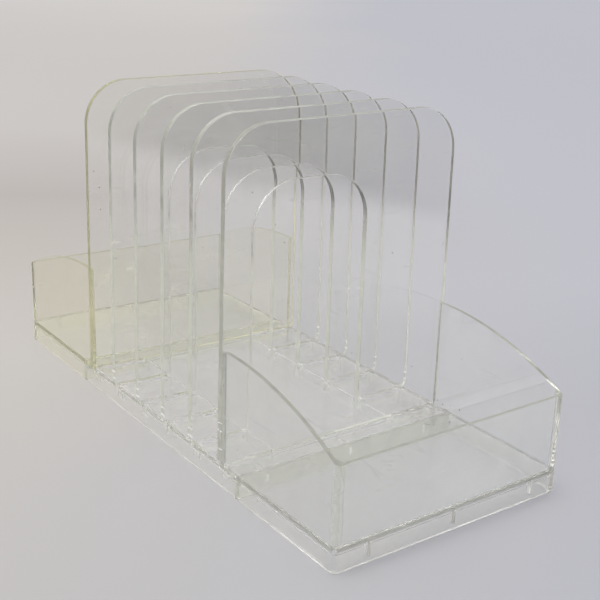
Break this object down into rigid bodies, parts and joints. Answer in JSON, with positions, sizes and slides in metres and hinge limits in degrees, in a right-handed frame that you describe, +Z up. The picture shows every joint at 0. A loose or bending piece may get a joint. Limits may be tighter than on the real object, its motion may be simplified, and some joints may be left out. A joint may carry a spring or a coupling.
{
  "type": "desk file sorter",
  "caption": "Clear plastic desk file sorter: upright panels with arched cut-outs stand in a low base between two open end trays.",
  "frame": {"origin": "middle of the footprint, on the surface that the base stands on", "axes": "+X along the row of panels towards end tray 1, +Y across the panels, +Z up"},
  "size_m": [0.3572, 0.1546, 0.1955],
  "materials": {
    "clear_plastic": "polished, see-through",
    "aged_clear_plastic": "polished, see-through, slightly yellowed"
  },
  "bodies": {
    "base": {"centre_base": "clear_plastic"},
    "tray_1": {"end_tray_1": "clear_plastic"},
    "tray_2": {"end_tray_2": "aged_clear_plastic"},
    "panel_1": {"end_panel_1": "clear_plastic"},
    "divider_1": {"arch_divider_1": "clear_plastic"},
    "divider_2": {"arch_divider_2": "clear_plastic"},
    "divider_3": {"arch_divider_3": "clear_plastic"},
    "divider_4": {"arch_divider_4": "clear_plastic"},
    "panel_2": {"end_panel_2": "aged_clear_plastic"}
  },
  "joints": [
    {"name": "tray_1_pull", "type": "slide", "parent": "base", "child": "tray_1", "axis": [1, 0, 0], "range_m": [0, 0.03]},
    {"name": "tray_2_pull", "type": "slide", "parent": "base", "child": "tray_2", "axis": [-1, 0, 0], "range_m": [0, 0.03]},
    {"name": "panel_1_lift", "type": "slide", "parent": "base", "child": "panel_1", "axis": [0, 0, 1], "range_m": [0, 0.195]},
    {"name": "divider_1_lift", "type": "slide", "parent": "base", "child": "divider_1", "axis": [0, 0, 1], "range_m": [0, 0.195]},
    {"name": "divider_2_lift", "type": "slide", "parent": "base", "child": "divider_2", "axis": [0, 0, 1], "range_m": [0, 0.195]},
    {"name": "divider_3_lift", "type": "slide", "parent": "base", "child": "divider_3", "axis": [0, 0, 1], "range_m": [0, 0.195]},
    {"name": "divider_4_lift", "type": "slide", "parent": "base", "child": "divider_4", "axis": [0, 0, 1], "range_m": [0, 0.195]},
    {"name": "panel_2_lift", "type": "slide", "parent": "base", "child": "panel_2", "axis": [0, 0, 1], "range_m": [0, 0.195]}
  ]
}
